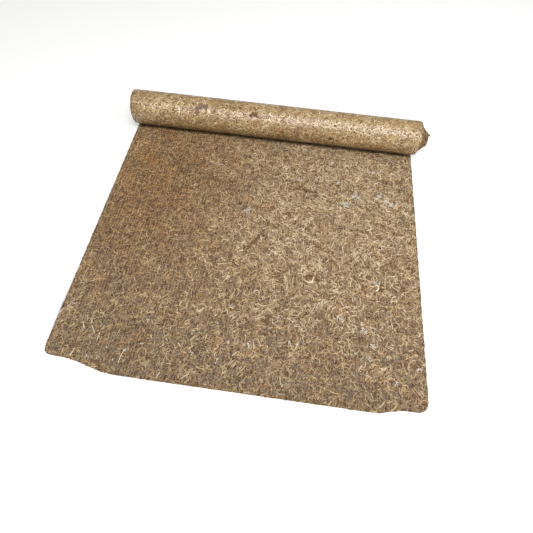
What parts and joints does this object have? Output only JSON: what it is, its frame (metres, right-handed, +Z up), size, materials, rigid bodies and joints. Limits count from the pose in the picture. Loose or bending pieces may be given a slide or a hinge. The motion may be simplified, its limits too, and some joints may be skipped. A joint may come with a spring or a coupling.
{
  "type": "straw erosion blanket roll",
  "caption": "Straw erosion control blanket, part wound into a coreless roll and part laid flat on the ground, with its turns slid to one side.",
  "frame": {"origin": "on the ground, under the middle of the blanket's bounding box", "axes": "+X across the blanket along the roll, towards the end where the turns stand out; +Y from the cut front edge towards the roll; +Z up"},
  "size_m": [1.267, 1.172, 0.1417],
  "materials": {
    "straw": "dry golden-brown straw, stitched into a mat",
    "netting": "thin translucent net, pale straw colour",
    "thread": "undyed stitching thread"
  },
  "bodies": {
    "root": {"straw_blanket": "straw"}
  },
  "joints": []
}
